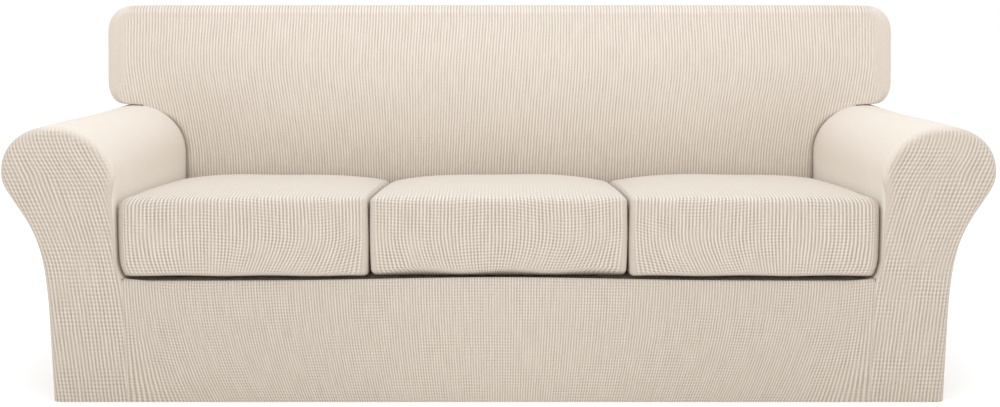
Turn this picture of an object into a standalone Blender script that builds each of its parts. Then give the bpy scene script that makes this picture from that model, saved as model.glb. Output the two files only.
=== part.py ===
"""Fitted stretch slipcover for a three-seat sofa with rolled arms and a T-shaped back.

The cover is hollow and open at the floor, and the sofa it fits is left out. Every panel that is
cut and sewn is one object: the front and rear of the back, the seat with the front skirt, and for
each arm a panel over the roll and a flat front. Three loose covers for the seat cushions lie on
the seat; each is open underneath, inside a hem that turns under the cushion.

Metres, +Z up. The origin is on the floor in the middle of the footprint, and the seat faces -Y.
"""

import math

import bmesh
import bpy
from mathutils import Vector

# Cloth
CLOTH = 0.002  # thickness of the knitted cloth
SEAM = 0.0003  # gap between two panels where they are sewn edge to edge
BUTT_SEAM = 0.0008  # gap where the arm panel ends against the leaning face of the back
SEAM_LIP = 0.004  # flat margin of an arm panel beside the flat panel that closes its end

# Overall
FRONT_Y = -0.45  # plane of the arm fronts and of the skirt
REAR_Y = 0.45  # plane of the rear panel
EDGE_RADIUS = 0.020  # soft edge between an arm panel and the flat panels at its ends
TIGHT_RADIUS = 0.006  # the same edge where it dies out in a corner

# Arms, in the outline seen from the front
SIDE_FLOOR_X = 1.0455  # outer side at the floor
SIDE_X = 1.044  # outer side where it starts to curve out to the roll
FLARE_Z = 0.20
FLARE_DELAY = 2.4  # power that holds most of the curve back until it nears the roll
FLARE_EARLY = 0.15  # share of the curve that is not held back
ROLL_OUT_X = 1.133  # widest point of the roll
ROLL_OUT_Z = 0.5325
ROLL_FULLNESS = 2.2  # 2 for an ellipse, more for a fuller outer half
ROLL_TOP_X = 1.0
ROLL_TOP_Z = 0.6465
ROLL_IN_Z = 0.512  # where the roll meets the straight inner side
ROLL_FALL = 0.007  # how much lower the roll is at the back than at the front
INNER_X = 0.867  # inner side, towards the seat
CONTACT_X = 0.985  # where the back's T starts to cover the roll

# Seat
DECK_FRONT_Z = 0.295
DECK_PITCH = 0.07  # the seat falls by this much for each metre backwards
DECK_EDGE_RADIUS = 0.012

# Back
CREASE_Y = FRONT_Y + 0.583  # face of the back where the cushions end
CREASE_Z = 0.44
LEAN_LOW = DECK_PITCH  # lean of the face beside the cushions
LEAN_HIGH = 0.17  # lean of the face above them
BACK_CROWN = 0.018  # how far the middle of the face stands proud of its edges
BACK_TOP_Z = 0.909
BACK_EDGE_RADIUS = 0.055  # round edge of the face along the ears and the top
BACK_REAR_RADIUS = 0.025
EAR_X = 1.0935  # half the width of the T
EAR_LOW_Z = 0.6425
EAR_LOW_RADIUS = 0.055
EAR_TOP_RADIUS = 0.075

# Cushion covers, each in the frame of its own cushion: X across, Y back, Z up from the seat
CUSHION_COUNT = 3
CUSHION_GAP = 0.003
CUSHION_DEPTH = 0.564
CUSHION_HEIGHT = 0.186
CUSHION_FRONT_SETBACK = 0.006
CUSHION_CORNER = 0.022  # radius of the upright corners
CUSHION_HEM = 0.045  # how far the hem turns under the cushion
CUSHION_TOP_RADIUS = 0.014
CUSHION_LOW_RADIUS = 0.014
CUSHION_BULGE = 0.002  # how far the sides swell between their edges
CUSHION_CROWN = 0.022

# Facets
FLARE_STEPS = 9
ROLL_OUT_STEPS = 6
ROLL_IN_STEPS = 7
EDGE_STEPS = 4
ARM_SEAT_STEPS = 3
ARM_BEHIND_STEPS = 2
FACE_COLUMNS = 5  # on one half of the back
CORNER_STEPS = 5
BAND_STEPS = 2
CUSHION_MIDDLE_STEPS = 4

CLOTH_COLOUR = (0.72, 0.63, 0.50, 1.0)
CLOTH_ROUGHNESS = 0.92


def ease(t):
    """Rises from 0 to 1 with a level start and a level end."""
    t = min(max(t, 0.0), 1.0)
    return t * t * (3.0 - 2.0 * t)


def between(low, high, share):
    """Eased step from low to high."""
    return low + (high - low) * ease(share)


def deck_z(y):
    """Height of the seat under the cushions."""
    return DECK_FRONT_Z - DECK_PITCH * (y - FRONT_Y)


def face_y(z):
    """Place of the back's face along its edges."""
    lean = LEAN_LOW if z < CREASE_Z else LEAN_HIGH
    return CREASE_Y + lean * (z - CREASE_Z)


def deck_end_y():
    """Where the seat meets the leaning face of the back."""
    y = CREASE_Y
    for _ in range(4):
        y = face_y(deck_z(y))
    return y


# ---------------------------------------------------------------- outlines


def inward(points):
    """Unit normals of an open outline, on the left of its direction of travel."""
    normals = []
    for i in range(len(points)):
        before = points[max(i - 1, 0)]
        after = points[min(i + 1, len(points) - 1)]
        along = Vector((after[0] - before[0], after[1] - before[1])).normalized()
        normals.append((-along.y, along.x))
    return normals


def fallen(z, y):
    """Height of a point of the arm at Y: the roll sinks a little towards the back."""
    high = ease((z - CREASE_Z) / (ROLL_TOP_Z - CREASE_Z))
    return z - ROLL_FALL * high * ease((y - FRONT_Y) / (CREASE_Y - FRONT_Y))


def arm_outline():
    """Right arm from the floor outside, up the flared side, over the roll, to the seat inside."""
    points = [(SIDE_FLOOR_X, 0.0), ((SIDE_FLOOR_X + SIDE_X) / 2, FLARE_Z / 2)]
    for k in range(FLARE_STEPS):
        t = k / FLARE_STEPS
        share = FLARE_EARLY * ease(t) + (1.0 - FLARE_EARLY) * ease(t**FLARE_DELAY)
        x = SIDE_X + (ROLL_OUT_X - SIDE_X) * share
        points.append((x, FLARE_Z + (ROLL_OUT_Z - FLARE_Z) * t))
    for k in range(ROLL_OUT_STEPS):
        angle = math.radians(90) * k / ROLL_OUT_STEPS
        across, up = math.cos(angle) ** (2 / ROLL_FULLNESS), math.sin(angle) ** (2 / ROLL_FULLNESS)
        x = ROLL_TOP_X + (ROLL_OUT_X - ROLL_TOP_X) * across
        points.append((x, ROLL_OUT_Z + (ROLL_TOP_Z - ROLL_OUT_Z) * up))
    points.append((ROLL_TOP_X, ROLL_TOP_Z))
    start = math.asin((ROLL_TOP_X - CONTACT_X) / (ROLL_TOP_X - INNER_X))
    for k in range(ROLL_IN_STEPS + 1):
        angle = start + (math.radians(90) - start) * k / ROLL_IN_STEPS
        x = ROLL_TOP_X - (ROLL_TOP_X - INNER_X) * math.sin(angle)
        z = ROLL_IN_Z + (ROLL_TOP_Z - ROLL_IN_Z) * math.cos(angle)
        points.append((x, z))
    points.append((INNER_X, CREASE_Z))
    points.append((INNER_X, deck_z(FRONT_Y)))
    return points


def arm_stations():
    """The arm's outline, its inward normals, and the index where the T of the back starts."""
    points = arm_outline()
    normals = inward(points)
    normals[0] = (-1.0, 0.0)
    contact = FLARE_STEPS + ROLL_OUT_STEPS + 3
    return points, normals, contact


def arm_front_radius(point, index, contact):
    """The soft front edge keeps its radius and dies out beside the cushions."""
    if index <= contact:
        return EDGE_RADIUS
    share = 2.0 * (point[1] - DECK_FRONT_Z) / (ROLL_IN_Z - DECK_FRONT_Z)
    return between(TIGHT_RADIUS, EDGE_RADIUS, share)


def arm_rear_radius(point, index):
    """The soft rear edge dies out on top of the roll, under the ear of the back."""
    on_roll = point[1] > ROLL_OUT_Z
    share = (point[0] - CONTACT_X) / (ROLL_OUT_X - CONTACT_X) if on_roll else 1.0
    return between(TIGHT_RADIUS, EDGE_RADIUS, share)


def ear_outline():
    """Right half of the T from the roll, round the ear, to the end of its top corner.

    Each station is (x, z, share): share runs from 0 at the roll to 1 at the end of the ear's
    lower corner, and sets how round the edges of the back are there.
    """
    start = (CONTACT_X - CLOTH, roll_z(CONTACT_X) + SEAM)
    corner = (EAR_X - EAR_LOW_RADIUS, EAR_LOW_Z + EAR_LOW_RADIUS)
    stations = [(*start, 0.0), ((start[0] + corner[0]) / 2, (start[1] + EAR_LOW_Z) / 2, 0.15)]
    for k in range(CORNER_STEPS + 1):
        angle = math.radians(90) * k / CORNER_STEPS
        x = corner[0] + EAR_LOW_RADIUS * math.sin(angle)
        z = corner[1] - EAR_LOW_RADIUS * math.cos(angle)
        stations.append((x, z, 0.4 + 0.6 * k / CORNER_STEPS))
    top = (EAR_X - EAR_TOP_RADIUS, BACK_TOP_Z - EAR_TOP_RADIUS)
    for k in range(CORNER_STEPS + 1):
        angle = math.radians(90) * k / CORNER_STEPS
        x = top[0] + EAR_TOP_RADIUS * math.cos(angle)
        z = top[1] + EAR_TOP_RADIUS * math.sin(angle)
        stations.append((x, z, 1.0))
    return stations


def roll_z(x):
    """Height of the roll under the back, inside its top line."""
    across = (ROLL_TOP_X - x) / (ROLL_TOP_X - INNER_X)
    return fallen(ROLL_IN_Z + (ROLL_TOP_Z - ROLL_IN_Z) * math.sqrt(1.0 - across**2), REAR_Y)


def moved(point, normal, distance):
    return (point[0] + normal[0] * distance, point[1] + normal[1] * distance)


# ---------------------------------------------------------------- making objects


def cloth_material():
    material = bpy.data.materials.new("knitted_cloth")
    material.use_nodes = True
    shader = material.node_tree.nodes["Principled BSDF"]
    shader.inputs["Base Color"].default_value = CLOTH_COLOUR
    shader.inputs["Roughness"].default_value = CLOTH_ROUGHNESS
    shader.inputs["Metallic"].default_value = 0.0
    return material


def add_grid(mesh, columns, rows, place):
    """Adds a flat grid and moves the point at (column, row) to place(column, row)."""
    made = bmesh.ops.create_grid(mesh, x_segments=columns, y_segments=rows, size=0.5)
    for vertex in made["verts"]:
        column = round((vertex.co.x + 0.5) * columns)
        row = round((vertex.co.y + 0.5) * rows)
        vertex.co = place(column, row)
    return made["verts"]


def new_object(name, mesh, collection, material):
    """Turns a bmesh into an object, shaded smooth but for its sharp edges."""
    data = bpy.data.meshes.new(name)
    mesh.to_mesh(data)
    mesh.free()
    data.shade_smooth()
    data.set_sharp_from_angle(angle=math.radians(40))
    data.materials.append(material)
    piece = bpy.data.objects.new(name, data)
    collection.objects.link(piece)
    return piece


def thicken(piece):
    """Gives the sheet its thickness, inwards from its outer side."""
    wall = piece.modifiers.new("cloth thickness", "SOLIDIFY")
    wall.thickness = CLOTH
    wall.offset = -1.0
    wall.use_even_offset = True


def flat_panel(name, outline, outer_y, inner_y, collection, material):
    """A flat upright panel, cut to an outline of (x, z) points, between two planes of Y."""
    curve = bpy.data.curves.new(name, "CURVE")
    curve.dimensions = "2D"
    curve.fill_mode = "BOTH"
    curve.extrude = abs(inner_y - outer_y) / 2
    spline = curve.splines.new("POLY")
    spline.points.add(len(outline) - 1)
    for point, (x, z) in zip(spline.points, outline):
        point.co = (x, z, 0.0, 1.0)
    spline.use_cyclic_u = True
    curve.materials.append(material)
    piece = bpy.data.objects.new(name, curve)
    piece.location = (0.0, (outer_y + inner_y) / 2, 0.0)
    piece.rotation_euler = (math.radians(90), 0.0, 0.0)
    collection.objects.link(piece)
    return piece


# ---------------------------------------------------------------- arms


def arm_row(point, normal, front_radius, rear_radius, split):
    """The stations (x, y, z) of the arm panel along one line of its outline, front to rear.

    One of them is at the Y named split, where the inner part of the panel ends.
    """
    stations = [(front_radius + SEAM_LIP, FRONT_Y)]
    for k in range(EDGE_STEPS + 1):
        angle = math.radians(90) * k / EDGE_STEPS
        inset = front_radius * (1.0 - math.sin(angle))
        stations.append((inset, FRONT_Y + front_radius * (1.0 - math.cos(angle))))
    start = stations[-1][1]
    for k in range(1, ARM_SEAT_STEPS + 1):
        stations.append((0.0, start + (split - start) * k / ARM_SEAT_STEPS))
    end = REAR_Y - rear_radius
    for k in range(1, ARM_BEHIND_STEPS + 1):
        stations.append((0.0, split + (end - split) * k / ARM_BEHIND_STEPS))
    for k in range(1, EDGE_STEPS + 1):
        angle = math.radians(90) * (1.0 - k / EDGE_STEPS)
        inset = rear_radius * (1.0 - math.sin(angle))
        stations.append((inset, REAR_Y - rear_radius * (1.0 - math.cos(angle))))
    stations.append((rear_radius + SEAM_LIP, REAR_Y))
    row = []
    for inset, y in stations:
        x, z = moved(point, normal, inset)
        row.append([x, y, fallen(z, y)])
    return row


def arm_panel(name, side, collection, material):
    """Inner arm, roll and outer side in one piece, its inner part ending at the back's face."""
    outline, normals, contact = arm_stations()
    table = []
    for index, (point, normal) in enumerate(zip(outline, normals)):
        front = arm_front_radius(point, index, contact)
        rear = arm_rear_radius(point, index)
        low = index == len(outline) - 1
        split = (deck_end_y() if low else face_y(fallen(point[1], REAR_Y))) - BUTT_SEAM
        table.append(arm_row(point, normal, front, rear, split))
    for station in table[-1]:
        station[2] = deck_z(station[1]) + SEAM
    split_column = 1 + EDGE_STEPS + ARM_SEAT_STEPS

    mesh = bmesh.new()
    rows, columns = len(table) - 1, len(table[0]) - 1
    verts = add_grid(mesh, columns, rows, lambda column, row: Vector((column, row, 0.0)))
    behind = []
    for face in mesh.faces:
        middle = face.calc_center_median()
        if middle.x > split_column and middle.y > contact:
            behind.append(face)
    places = {vertex: table[round(vertex.co.y)][round(vertex.co.x)] for vertex in verts}
    for vertex, (x, y, z) in places.items():
        vertex.co = (side * x, y, z)
    bmesh.ops.delete(mesh, geom=behind, context="FACES")
    if side < 0:
        bmesh.ops.reverse_faces(mesh, faces=mesh.faces)
    piece = new_object(name, mesh, collection, material)
    thicken(piece)
    return piece


def arm_front_outline():
    """Flat front of the right arm, inside the soft edge of the arm panel."""
    outline, normals, contact = arm_stations()
    points = []
    for index, (point, normal) in enumerate(zip(outline, normals)):
        inset = arm_front_radius(point, index, contact) + SEAM_LIP + SEAM
        points.append(moved(point, normal, inset))
    jog = deck_z(FRONT_Y)
    points[-1] = (points[-1][0], jog)
    return [*points, (INNER_X + SEAM / 2, jog), (INNER_X + SEAM / 2, 0.0)]


# ---------------------------------------------------------------- seat and skirt


def seat_profile():
    """(y, z) from the floor up the front skirt, over its soft top edge, back to the crease."""
    centre_y = FRONT_Y + DECK_EDGE_RADIUS
    centre_z = deck_z(centre_y) - DECK_EDGE_RADIUS
    points = [(FRONT_Y, 0.0), (FRONT_Y, centre_z / 2)]
    for k in range(EDGE_STEPS + 1):
        angle = math.radians(90) * k / EDGE_STEPS
        y = centre_y - DECK_EDGE_RADIUS * math.cos(angle)
        points.append((y, centre_z + DECK_EDGE_RADIUS * math.sin(angle)))
    end = deck_end_y() - SEAM
    for share in (0.25, 0.5, 0.75, 1.0):
        y = centre_y + (end - centre_y) * share
        points.append((y, deck_z(y)))
    return points


def seat_panel(name, collection, material):
    profile = seat_profile()
    half = INNER_X - SEAM / 2
    columns = 2 * CUSHION_COUNT

    def place(column, row):
        y, z = profile[row]
        return Vector((half * (2.0 * column / columns - 1.0), y, z))

    mesh = bmesh.new()
    add_grid(mesh, columns, len(profile) - 1, place)
    piece = new_object(name, mesh, collection, material)
    thicken(piece)
    return piece


# ---------------------------------------------------------------- back


def back_edges():
    """Right half of the T as (outline point, inward normal, front radius, rear radius)."""
    stations = ear_outline()
    normals = inward([station[:2] for station in stations])
    normals[0] = (0.0, 1.0)
    normals[-1] = (0.0, -1.0)
    edges = []
    for (x, z, share), normal in zip(stations, normals):
        front = between(TIGHT_RADIUS, BACK_EDGE_RADIUS, share)
        rear = between(TIGHT_RADIUS, BACK_REAR_RADIUS, share)
        edges.append(((x, z), normal, front, rear))
    return edges


def face_border():
    """Right border (x, z) of the back's face, from the seat up to the end of the top corner."""
    outline, normals, contact = arm_stations()
    border = []
    for index in range(len(outline) - 1, contact, -1):
        x, z = moved(outline[index], normals[index], CLOTH)
        border.append((x, fallen(z, REAR_Y)))
    bottom = deck_z(deck_end_y()) + SEAM
    border[0] = (border[0][0], bottom)
    border.append((CONTACT_X - CLOTH, roll_z(CONTACT_X) - CLOTH - SEAM))
    for point, normal, front, _ in back_edges():
        border.append(moved(point, normal, front))
    return border


def face_point(x, z, half, top_z):
    """A point of the face: plain along its border and proudest in the middle, above the seat."""
    share = min(max((z - CREASE_Z) / (top_z - CREASE_Z), 0.0), 1.0)
    crown = BACK_CROWN * (1.0 - (x / half) ** 4) * math.sin(math.pi * share) ** 0.7
    return Vector((x, face_y(z) - crown, z))


def back_face(mesh):
    """The front of the T, on the right half."""
    border = face_border()

    def place(column, row):
        half, z = border[row]
        return face_point(half * column / FACE_COLUMNS, z, half, border[-1][1])

    add_grid(mesh, FACE_COLUMNS, len(border) - 1, place)


def back_band(mesh):
    """The round edge and the depth of the T, from the middle of its top to the roll."""
    edges = list(reversed(back_edges()))
    top_point, top_normal, front, rear = edges[0]
    top = []
    for column in range(FACE_COLUMNS):
        x = (top_point[0] + top_normal[0] * front) * column / FACE_COLUMNS
        top.append(((x, top_point[1]), top_normal, front, rear))
    path = [*top, *edges]

    def place(column, row):
        point, normal, front, rear = path[column]
        inner = moved(point, normal, front)
        face = face_y(inner[1])
        if row <= EDGE_STEPS:
            angle = math.radians(90) * row / EDGE_STEPS
            inset, y = front * (1.0 - math.sin(angle)), face + front * (1.0 - math.cos(angle))
        elif row <= EDGE_STEPS + BAND_STEPS:
            share = (row - EDGE_STEPS) / BAND_STEPS
            inset, y = 0.0, face + front + (REAR_Y - rear - face - front) * share
        elif row <= 2 * EDGE_STEPS + BAND_STEPS:
            angle = math.radians(90) * (2 * EDGE_STEPS + BAND_STEPS - row) / EDGE_STEPS
            inset, y = rear * (1.0 - math.sin(angle)), REAR_Y - rear * (1.0 - math.cos(angle))
        else:
            inset, y = rear + SEAM_LIP, REAR_Y
        x, z = moved(point, normal, inset)
        return Vector((x, y, z))

    add_grid(mesh, len(path) - 1, 2 * EDGE_STEPS + BAND_STEPS + 1, place)


def back_front_panel(name, collection, material):
    """Face, ears, top and edges of the back in one stretched piece."""
    mesh = bmesh.new()
    back_face(mesh)
    back_band(mesh)
    bmesh.ops.remove_doubles(mesh, verts=mesh.verts, dist=SEAM / 6)
    piece = new_object(name, mesh, collection, material)
    mirror = piece.modifiers.new("other half", "MIRROR")
    mirror.merge_threshold = 0.0001
    thicken(piece)
    return piece


def rear_outline():
    """Flat rear panel: side, roll and ear of the right half, then the left half mirrored."""
    outline, normals, contact = arm_stations()
    half = []
    for index in range(contact + 1):
        inset = arm_rear_radius(outline[index], index) + SEAM_LIP + SEAM
        x, z = moved(outline[index], normals[index], inset)
        half.append((x, fallen(z, REAR_Y)))
    inner_x = CONTACT_X - CLOTH - SEAM
    half.append((inner_x, half[-1][1]))
    ear = [moved(point, normal, rear + SEAM_LIP + SEAM) for point, normal, _, rear in back_edges()]
    half += [(inner_x, ear[0][1]), *ear]
    return half + [(-x, z) for x, z in reversed(half)]


# ---------------------------------------------------------------- cushion covers


def cushion_half_width():
    return (2 * INNER_X / CUSHION_COUNT - CUSHION_GAP) / 2


def cushion_plan(x, y, half_x, half_y, inset):
    """Moves a point of the plain rectangle into the same one with round corners, made smaller."""
    straight_x, straight_y = half_x - CUSHION_CORNER, half_y - CUSHION_CORNER
    corner_x = max(abs(x) - straight_x, 0.0) / CUSHION_CORNER
    corner_y = max(abs(y) - straight_y, 0.0) / CUSHION_CORNER
    radius = CUSHION_CORNER - inset
    across = min(abs(x), straight_x) + radius * corner_x * math.sqrt(1.0 - corner_y**2 / 2)
    back = min(abs(y), straight_y) + radius * corner_y * math.sqrt(1.0 - corner_x**2 / 2)
    return math.copysign(across, x), math.copysign(back, y)


def cushion_levels():
    """(inset, z) up the side of a cushion cover, from the hem underneath to its top edge."""
    levels = []
    for k in range(3):
        angle = math.radians(90) * k / 2
        inset = CUSHION_BULGE + CUSHION_LOW_RADIUS * (1.0 - math.sin(angle))
        levels.append((inset, CUSHION_LOW_RADIUS * (1.0 - math.cos(angle))))
    levels.append((0.0, CUSHION_HEIGHT / 2))
    for k in range(3):
        angle = math.radians(90) * k / 2
        inset = CUSHION_BULGE + CUSHION_TOP_RADIUS * (1.0 - math.cos(angle))
        levels.append((inset, CUSHION_HEIGHT - CUSHION_TOP_RADIUS * (1.0 - math.sin(angle))))
    return levels


def cushion_stations(half):
    """Cuts across a cushion: two in each corner, one at the hem, and even ones between."""
    hem = half - CUSHION_HEM
    middle = [hem * (2 * k / CUSHION_MIDDLE_STEPS - 1) for k in range(CUSHION_MIDDLE_STEPS + 1)]
    ends = [half - CUSHION_CORNER, half - CUSHION_CORNER / 2]
    return [-end for end in reversed(ends)] + middle + ends


def cushion_mesh(material):
    """One cushion cover: a box cut along its stations, rounded, crowned, and open underneath."""
    half_x, half_y = cushion_half_width(), CUSHION_DEPTH / 2
    levels = cushion_levels()
    top_level = len(levels) - 1
    mesh = bmesh.new()
    bmesh.ops.create_cube(mesh, size=2.0)
    for vertex in mesh.verts:
        up = (vertex.co.z + 1.0) / 2 * top_level
        vertex.co = (vertex.co.x * half_x, vertex.co.y * half_y, up)
    cuts = [(Vector((x, 0, 0)), Vector((1, 0, 0))) for x in cushion_stations(half_x)]
    cuts += [(Vector((0, y, 0)), Vector((0, 1, 0))) for y in cushion_stations(half_y)]
    cuts += [(Vector((0, 0, level)), Vector((0, 0, 1))) for level in range(1, top_level)]
    for place, normal in cuts:
        geometry = [*mesh.verts, *mesh.edges, *mesh.faces]
        bmesh.ops.bisect_plane(mesh, geom=geometry, plane_co=place, plane_no=normal, dist=1e-6)

    opening = []
    for face in mesh.faces:
        middle = face.calc_center_median()
        inside = abs(middle.x) < half_x - CUSHION_HEM and abs(middle.y) < half_y - CUSHION_HEM
        if middle.z < 0.01 and inside:
            opening.append(face)
    bmesh.ops.delete(mesh, geom=opening, context="FACES")

    for vertex in mesh.verts:
        level = round(vertex.co.z)
        inset, z = levels[level]
        x, y = cushion_plan(vertex.co.x, vertex.co.y, half_x, half_y, inset)
        if level == top_level:
            across = 1.0 - abs(vertex.co.x / half_x) ** 3
            back = 1.0 - abs(vertex.co.y / half_y) ** 3
            z += CUSHION_CROWN * across * back
        vertex.co = (x, y, z)
    data = bpy.data.meshes.new("cushion_cover")
    mesh.to_mesh(data)
    mesh.free()
    data.shade_smooth()
    data.materials.append(material)
    return data


def cushion_cover(name, place, data, collection):
    """Lays a cushion cover on the sloping seat; place counts the cushions from the left."""
    piece = bpy.data.objects.new(name, data)
    slope = math.atan(DECK_PITCH)
    spacing = 2 * INNER_X / CUSHION_COUNT
    front = FRONT_Y + CUSHION_FRONT_SETBACK
    middle = front + CUSHION_DEPTH / 2 * math.cos(slope)
    lift = 2 * SEAM / math.cos(slope)
    piece.location = (spacing * (place - (CUSHION_COUNT - 1) / 2), middle, deck_z(middle) + lift)
    piece.rotation_euler = (-slope, 0.0, 0.0)
    collection.objects.link(piece)
    thicken(piece)
    return piece


# ---------------------------------------------------------------- the slipcover


def main():
    for leftover in list(bpy.data.objects):
        bpy.data.objects.remove(leftover, do_unlink=True)
    collection = bpy.data.collections.new("sofa_slipcover")
    bpy.context.scene.collection.children.link(collection)
    material = cloth_material()

    back_front_panel("back_front_panel", collection, material)
    flat_panel("back_rear_panel", rear_outline(), REAR_Y, REAR_Y - CLOTH, collection, material)
    seat_panel("seat_and_skirt_panel", collection, material)
    front = arm_front_outline()
    for word, side in (("left", -1), ("right", 1)):
        arm_panel(f"arm_panel_{word}", side, collection, material)
        outline = [(side * x, z) for x, z in front]
        flat_panel(f"arm_front_{word}", outline, FRONT_Y, FRONT_Y + CLOTH, collection, material)
    data = cushion_mesh(material)
    for place, word in enumerate(("left", "middle", "right")):
        cushion_cover(f"cushion_cover_{word}", place, data, collection)


main()
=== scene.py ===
import math

import bmesh
import bpy
import numpy as np
from bpy.props import FloatProperty, FloatVectorProperty, PointerProperty
from bpy.types import Operator, Panel, PropertyGroup
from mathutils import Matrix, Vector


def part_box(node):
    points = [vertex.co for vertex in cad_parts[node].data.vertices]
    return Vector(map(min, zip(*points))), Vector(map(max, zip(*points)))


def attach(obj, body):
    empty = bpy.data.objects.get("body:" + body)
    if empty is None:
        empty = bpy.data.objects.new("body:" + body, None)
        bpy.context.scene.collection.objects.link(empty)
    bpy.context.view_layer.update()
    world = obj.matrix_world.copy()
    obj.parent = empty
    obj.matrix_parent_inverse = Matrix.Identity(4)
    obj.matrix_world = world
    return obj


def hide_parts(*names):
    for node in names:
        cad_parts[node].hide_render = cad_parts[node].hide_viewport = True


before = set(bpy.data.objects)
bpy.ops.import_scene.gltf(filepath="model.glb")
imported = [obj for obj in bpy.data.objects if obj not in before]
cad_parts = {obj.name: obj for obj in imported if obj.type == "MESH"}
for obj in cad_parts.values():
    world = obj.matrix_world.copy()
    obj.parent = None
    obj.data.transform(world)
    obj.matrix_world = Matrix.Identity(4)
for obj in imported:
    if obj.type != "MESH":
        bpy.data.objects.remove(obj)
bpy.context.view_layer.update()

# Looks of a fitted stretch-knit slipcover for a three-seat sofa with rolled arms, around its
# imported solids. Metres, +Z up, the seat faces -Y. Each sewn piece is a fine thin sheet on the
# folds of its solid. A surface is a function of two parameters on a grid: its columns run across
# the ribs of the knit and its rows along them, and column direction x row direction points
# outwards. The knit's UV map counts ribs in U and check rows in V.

bl_info = {
    "name": "Sofa slipcover",
    "version": (1, 0, 0),
    "blender": (4, 5, 0),
    "location": "3D View > Sidebar > Slipcover",
    "description": "Makes the knitted pieces of a fitted sofa cover and a studio stage",
    "category": "Object",
}

BODY = "root"

# Overall sizes, read from the frame
ARM_LOW, ARM_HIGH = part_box("arm_panel_right")
BACK_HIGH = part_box("back_front_panel")[1]
FRONT_Y, REAR_Y = ARM_LOW.y, ARM_HIGH.y
INNER_X = ARM_LOW.x  # inner side of the arm, towards the seat
ROLL_OUT_X = ARM_HIGH.x  # widest point of the roll
ROLL_TOP_Z = ARM_HIGH.z
EAR_X = BACK_HIGH.x  # half the width of the T-shaped back
BACK_TOP_Z = BACK_HIGH.z

# Seams and edges
SEAM = 0.0003
BUTT_SEAM = 0.0008
SEAM_LIP = 0.004  # how far a panel's flat lip reaches in behind its rear edge
CLOTH_THICKNESS = 0.002
EDGE_RADIUS = 0.020
TIGHT_RADIUS = 0.006
PRESSED_RADIUS = 0.004  # edge of the arm beside a cushion
PRESSED_TOP_Z = 0.45  # above it that edge softens
ARM_GIVE = 0.0145  # how far that edge gives way to the cushion's front corner
ARM_GIVE_TOP_Z = 0.565
WELD = 0.00002

# Outline of the arm
SIDE_FLOOR_X = 1.0455
SIDE_X = 1.044
FLARE_Z = 0.20
FLARE_DELAY = 2.4
FLARE_EARLY = 0.15
ROLL_OUT_Z = 0.5325
ROLL_FULLNESS = 2.2
ROLL_TOP_X = 1.0
ROLL_IN_Z = 0.512
ROLL_FALL = 0.007
CONTACT_X = 0.985  # where the back starts to cover the roll
NECK_X = CONTACT_X - 0.002

# Seat
DECK_FRONT_Z = 0.295
DECK_PITCH = 0.07
DECK_EDGE_RADIUS = 0.011
SEAT_ARCH = (0.0040, 0.0082)  # rise of its front edge in the middle, and fall towards its ends
SEAT_HOLLOW = 0.008  # the seat sinks behind its front edge, under the cushions

# Back
CREASE_Y = FRONT_Y + 0.583
CREASE_Z = 0.44
LEAN_LOW = DECK_PITCH
LEAN_HIGH = 0.17
BACK_CROWN = 0.018
BACK_GROOVE = 0.015  # how far back and arm are tucked in where they meet
BACK_GROOVE_WIDTH = 0.02
BACK_GROOVE_TOP_Z = 0.625
BACK_BOW_Z = 0.76  # height at which the ribs of the back bow outwards the most
BACK_PAINTED_SHADE_Z = 0.893  # painted shade from here up, round the top edge, dimming the light from above on its rounding
BACK_EDGE_RADIUS = 0.055
BACK_REAR_RADIUS = 0.025
EAR_LOW_Z = 0.6425
EAR_LOW_RADIUS = 0.055
EAR_TOP_RADIUS = 0.075

# Cushions
CUSHION_WORDS = ("left", "middle", "right")
CUSHION_MEETS_X = 0.2985
CUSHION_GAP = 0.003
CUSHION_DEPTH = 0.564
CUSHION_HEIGHT = 0.186
CUSHION_FRONT_SETBACK = 0.006
CUSHION_CORNER = 0.018
CUSHION_HEM = 0.045
CUSHION_LOW_RADIUS = 0.009
CUSHION_FRONT_RADIUS = 0.014
CUSHION_SIDE_RADIUS = 0.018
CUSHION_GAP_RADIUS = 0.009
CUSHION_BULGE = 0.002
CUSHION_CROWN = 0.022
CUSHION_PUSH = 0.0130  # how far the front corner beside an arm presses into it
CUSHION_ARM_SIDE = (-1.0, 0.0, 1.0)  # side on which each presses on an arm
CUSHION_CENTRE = (-0.35, -0.1, 0.3)  # share of the half width that its ribs draw in to
CUSHION_FOOT_LIFT = (0.0065, 0.018, 0.0065)  # the front of each foot stands clear of the seat
CUSHION_CORNER_LIFT = 0.005  # and more at the corners between two cushions
CUSHION_SAG = 0.010  # how far the tops sink between two cushions, at the back

# The knit as it is stretched on each part
COLUMNS_PER_RIB = 3  # where the ribs are raised in the mesh
CUSHION_RIB = 0.0081
BACK_RIB = 0.0081
SKIRT_RIB = 0.0065
ARM_RIB = 0.0085
CHECK_ROW = 0.0075
ARM_CHECK_ROW = 0.0094

# How much of its flat rectangle each piece fills
BACK_CUT, REAR_CUT, ARM_CUT, ARM_FRONT_CUT = 0.8, 0.9, 0.85, 0.8

# Stage
WHITE, COOL = (1.0, 1.0, 1.0), (0.87, 1.0, 1.15)  # colours of the lights
FLOOR_REACH, FLOOR_Z = 12.0, -0.0005
CAMERA_PLACE = (0.0135, -3.126, 0.9385)
CAMERA_DOWN = 9.9  # degrees
CAMERA_SHIFT = -0.0045


# ---------------------------------------------------------------- settings


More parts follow.
